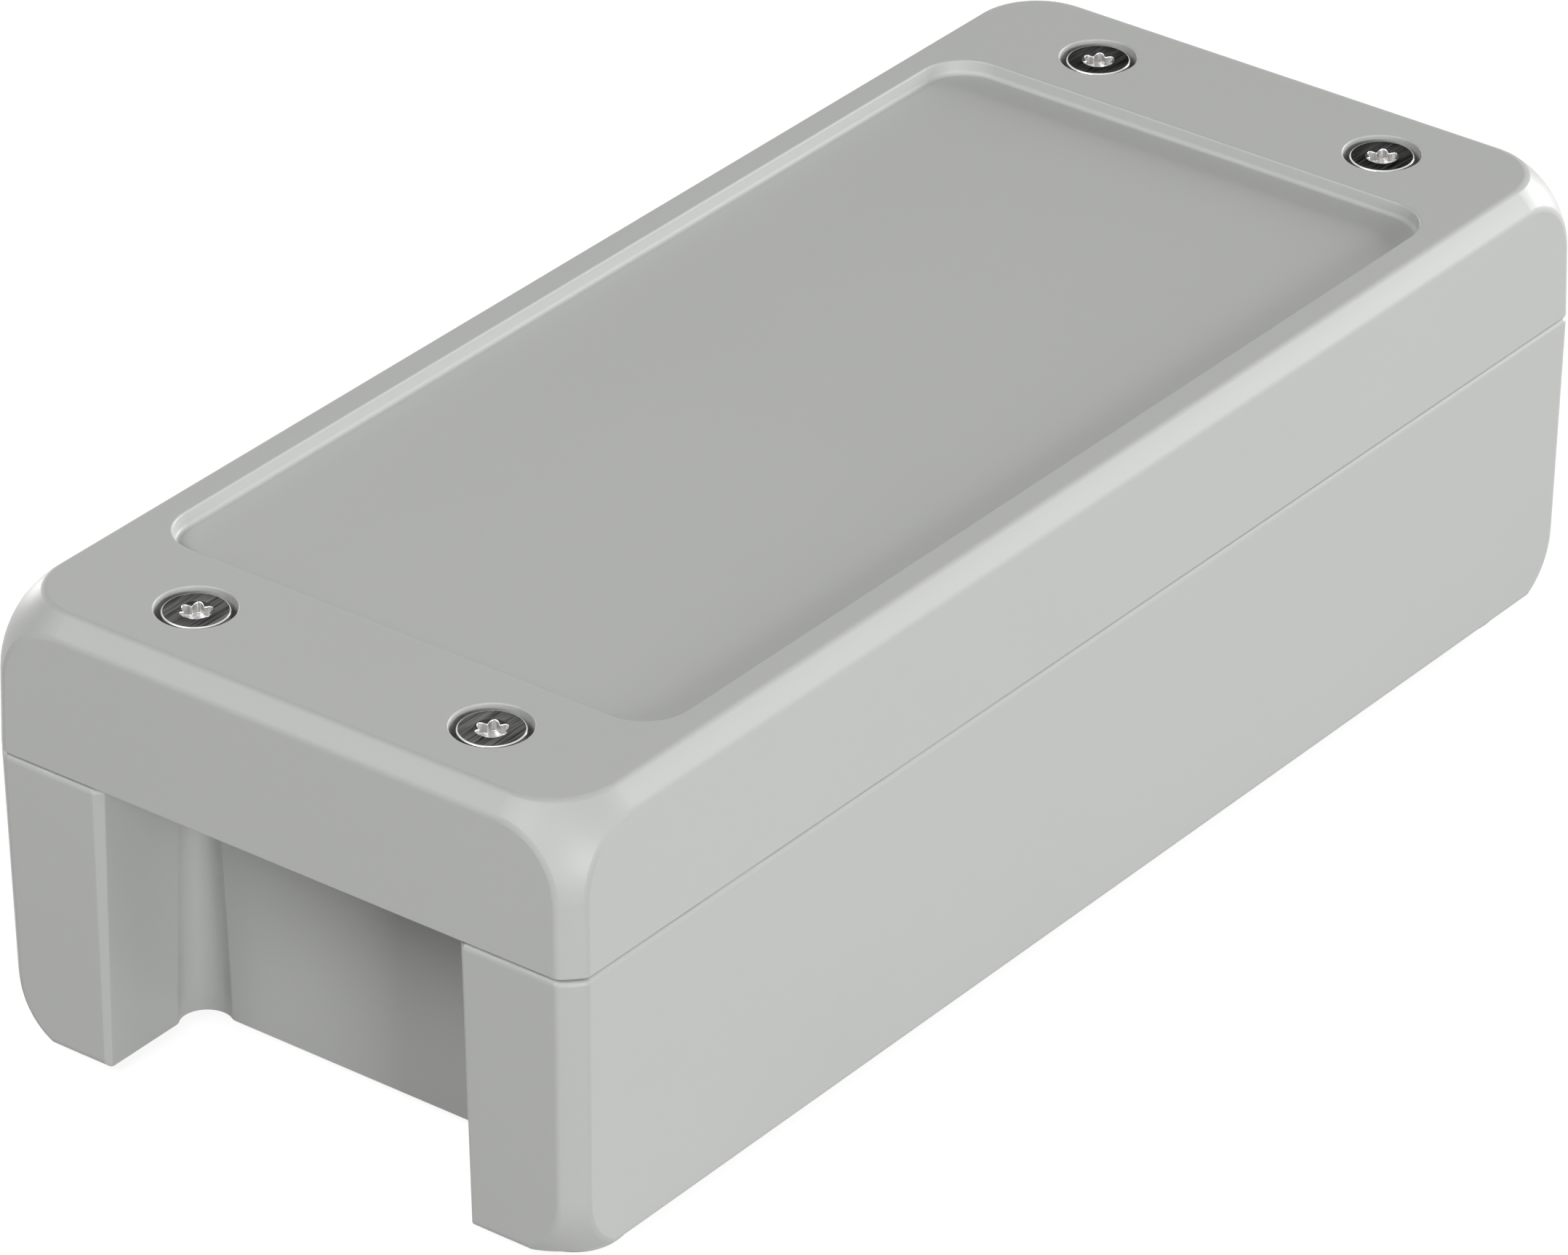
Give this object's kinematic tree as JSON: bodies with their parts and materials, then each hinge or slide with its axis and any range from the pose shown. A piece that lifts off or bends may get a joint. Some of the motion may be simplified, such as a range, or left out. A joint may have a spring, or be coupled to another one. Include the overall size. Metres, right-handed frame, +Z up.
{
  "type": "aluminium enclosure",
  "caption": "Oblong die-cast enclosure: a deep base with open end bays between corner legs, and a screwed lid with a recessed label field and captive six-lobe screws.",
  "frame": {"origin": "under the middle of the case, on the plane that the feet stand on", "axes": "+X along the case's length, +Y across it towards the back, +Z up out of the lid"},
  "size_m": [0.197, 0.085, 0.0585],
  "materials": {
    "case_paint": "smooth matt powder coat",
    "screw_steel": "brushed heads with polished rims",
    "washer_steel": "satin",
    "gasket_rubber": "matt",
    "foot_rubber": "matt"
  },
  "bodies": {
    "root": {"base": "case_paint", "lid": "case_paint", "gasket": "gasket_rubber", "lid_screw_front_left": "screw_steel", "lid_screw_back_left": "screw_steel", "lid_screw_front_right": "screw_steel", "lid_screw_back_right": "screw_steel", "screw_retainer_front_left": "washer_steel", "screw_retainer_back_left": "washer_steel", "screw_retainer_front_right": "washer_steel", "screw_retainer_back_right": "washer_steel", "foot_front_left": "foot_rubber", "foot_back_left": "foot_rubber", "foot_front_right": "foot_rubber", "foot_back_right": "foot_rubber"}
  },
  "joints": []
}
